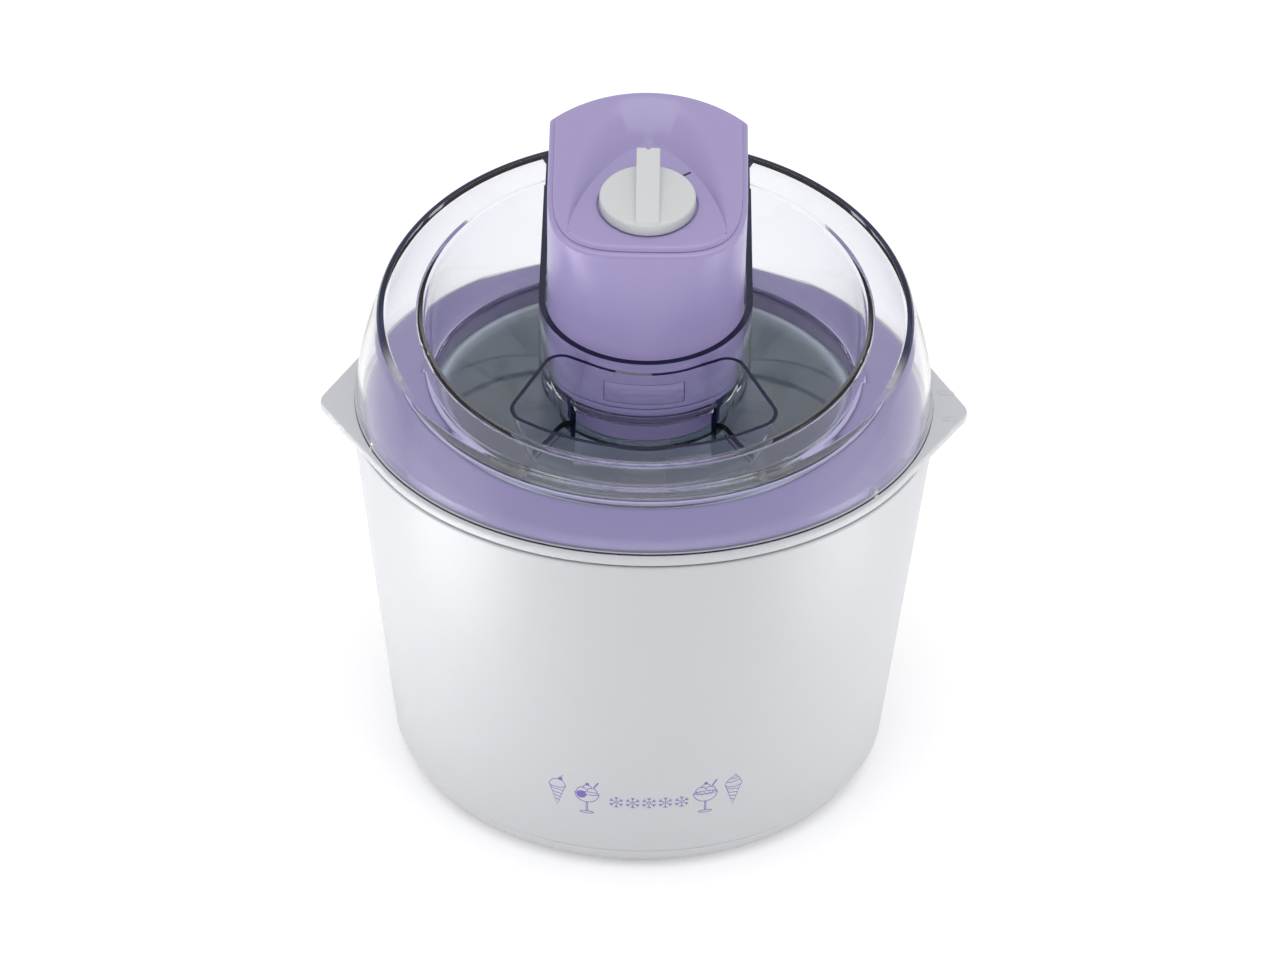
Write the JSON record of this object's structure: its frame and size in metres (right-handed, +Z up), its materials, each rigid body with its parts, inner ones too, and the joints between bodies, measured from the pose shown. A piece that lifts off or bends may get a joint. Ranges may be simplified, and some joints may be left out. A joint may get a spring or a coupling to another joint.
{
  "type": "ice cream maker",
  "caption": "Countertop ice cream maker: white bucket housing, lift-out cooling bowl, clear twist lid with filler chute, and a lilac motor unit with a rotary switch driving a paddle.",
  "frame": {"origin": "centre of the bounding box's base, on the surface the machine stands on", "axes": "+Z up; the front, with the chute and the sloped top panel, faces -Y; the two ears point along +X and -X"},
  "size_m": [0.234, 0.2124, 0.2506],
  "materials": {
    "white_plastic": "glossy moulded",
    "knob_white": "satin moulded",
    "lilac_plastic": "satin moulded",
    "seal_silicone": "matte",
    "clear_plastic": "clear polished",
    "bowl_aluminium": "satin spun",
    "coolant": "frozen gel",
    "black_rubber": "matte",
    "steel": "zinc plated",
    "black_plastic": "matte",
    "copper_winding": "copper colour",
    "brass": "brass colour",
    "natural_nylon": "natural nylon",
    "circuit_board": "solder mask"
  },
  "bodies": {
    "housing": {"outer_housing": "white_plastic", "base_plate": "white_plastic", "base_screw_1": "steel", "base_screw_2": "steel", "base_screw_3": "steel", "base_screw_4": "steel", "rubber_foot_1": "black_rubber", "rubber_foot_2": "black_rubber", "rubber_foot_3": "black_rubber", "rubber_foot_4": "black_rubber"},
    "cooling_bowl": {"bowl_shell": "white_plastic", "inner_bowl": "bowl_aluminium", "coolant_fill": "coolant", "collar_ring": "lilac_plastic", "filler_plug": "white_plastic"},
    "paddle": {"paddle": "white_plastic"},
    "lid_seal": {"lid_seal_ring": "seal_silicone"},
    "lid": {"lid_shell": "clear_plastic"},
    "motor_unit": {"motor_base": "lilac_plastic", "motor_housing": "lilac_plastic", "top_cover": "lilac_plastic", "cable_gland": "black_rubber", "gear_plate": "steel", "plate_screw_1": "steel", "plate_screw_2": "steel", "plate_screw_3": "steel", "plate_screw_4": "steel", "plate_screw_5": "steel", "case_screw_1": "steel", "case_screw_2": "steel", "case_screw_3": "steel", "case_screw_4": "steel", "lay_pin": "steel", "motor_can": "steel", "motor_end_cap": "black_plastic", "magnet_ring": "black_plastic", "output_bush": "brass", "rotary_switch": "natural_nylon", "switch_tab_1": "brass", "switch_tab_2": "brass", "rectifier_board": "circuit_board", "capacitor": "black_plastic", "terminal_block": "natural_nylon"},
    "knob": {"knob": "knob_white", "knob_spindle": "natural_nylon"},
    "latch": {"latch_tongue": "lilac_plastic"},
    "rotor": {"rotor": "copper_winding", "commutator": "copper_winding", "pinion": "brass"},
    "lay_gear": {"lay_gear": "natural_nylon"},
    "output": {"output_gear": "natural_nylon", "output_shaft": "steel"}
  },
  "joints": [
    {"name": "bowl_lift", "type": "slide", "parent": "housing", "child": "cooling_bowl", "axis": [0, 0, 1], "range_m": [0, 0.15]},
    {"name": "paddle_spin", "type": "hinge", "parent": "cooling_bowl", "child": "paddle", "pos_m": [0, 0, 0.0304], "axis": [0, 0, 1], "continuous": true},
    {"name": "lid_lift", "type": "slide", "parent": "cooling_bowl", "child": "lid_seal", "axis": [0, 0, 1], "range_m": [0, 0.12]},
    {"name": "lid_twist", "type": "hinge", "parent": "lid_seal", "child": "lid", "pos_m": [0, 0, 0.1472], "axis": [0, 0, 1], "range_deg": [0, 12]},
    {"name": "motor_lift", "type": "slide", "parent": "lid", "child": "motor_unit", "axis": [0, 0, 1], "range_m": [0, 0.1]},
    {"name": "knob_turn", "type": "hinge", "parent": "motor_unit", "child": "knob", "pos_m": [0, -0.011, 0.23223], "axis": [0, -0.1733, 0.9849], "range_deg": [-45, 0]},
    {"name": "tongue_press", "type": "slide", "parent": "motor_unit", "child": "latch", "axis": [0, 1, 0], "range_m": [0, 0.0015], "stiffness_N_per_m": 900},
    {"name": "output_spin", "type": "hinge", "parent": "motor_unit", "child": "output", "pos_m": [0, 0, 0.1672], "axis": [0, 0, 1], "continuous": true},
    {"name": "lay_spin", "type": "hinge", "parent": "motor_unit", "child": "lay_gear", "pos_m": [0, 0.03, 0.1672], "axis": [0, 0, 1], "continuous": true},
    {"name": "rotor_spin", "type": "hinge", "parent": "motor_unit", "child": "rotor", "pos_m": [0, 0.008, 0.1772], "axis": [0, 0, 1], "continuous": true}
  ],
  "couplings": [
    {"joint": "output_spin", "follows": "paddle_spin", "ratio": 1},
    {"joint": "lay_spin", "follows": "paddle_spin", "ratio": -4},
    {"joint": "rotor_spin", "follows": "paddle_spin", "ratio": 18}
  ]
}
